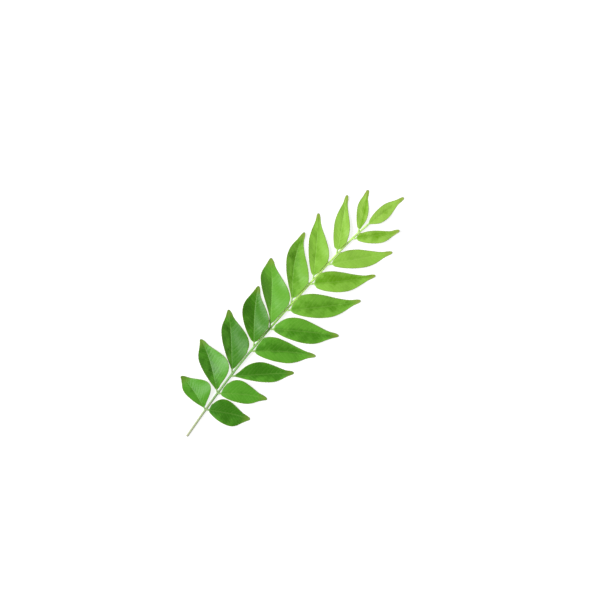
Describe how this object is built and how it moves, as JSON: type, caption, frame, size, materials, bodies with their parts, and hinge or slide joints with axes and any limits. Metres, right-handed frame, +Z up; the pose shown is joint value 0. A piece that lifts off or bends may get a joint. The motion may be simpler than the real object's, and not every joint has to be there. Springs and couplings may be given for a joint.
{
  "type": "curry leaf sprig",
  "caption": "Fresh curry leaf sprig cut at its base: a slender curved stalk with pointed green leaflets in near pairs and one at the tip, lying face up.",
  "frame": {"origin": "middle of the footprint, on the surface that the sprig lies on", "axes": "+Y from the cut end to the terminal leaflet, +Z up from the surface, +X to the right-hand side seen from above"},
  "size_m": [0.0678, 0.2128, 0.0064],
  "materials": {
    "stalk": "satin",
    "mature_leaflet": "satin",
    "young_leaflet": "satin"
  },
  "bodies": {
    "root": {"rachis": "stalk", "leaflet_left_1": "mature_leaflet", "leaflet_left_2": "mature_leaflet", "leaflet_left_3": "mature_leaflet", "leaflet_left_4": "mature_leaflet", "leaflet_left_5": "mature_leaflet", "leaflet_left_6": "mature_leaflet", "leaflet_left_7": "young_leaflet", "leaflet_left_8": "young_leaflet", "leaflet_left_9": "young_leaflet", "leaflet_right_1": "mature_leaflet", "leaflet_right_2": "mature_leaflet", "leaflet_right_3": "mature_leaflet", "leaflet_right_4": "mature_leaflet", "leaflet_right_5": "mature_leaflet", "leaflet_right_6": "mature_leaflet", "leaflet_right_7": "young_leaflet", "leaflet_right_8": "young_leaflet", "leaflet_right_9": "young_leaflet", "leaflet_terminal": "young_leaflet"}
  },
  "joints": []
}
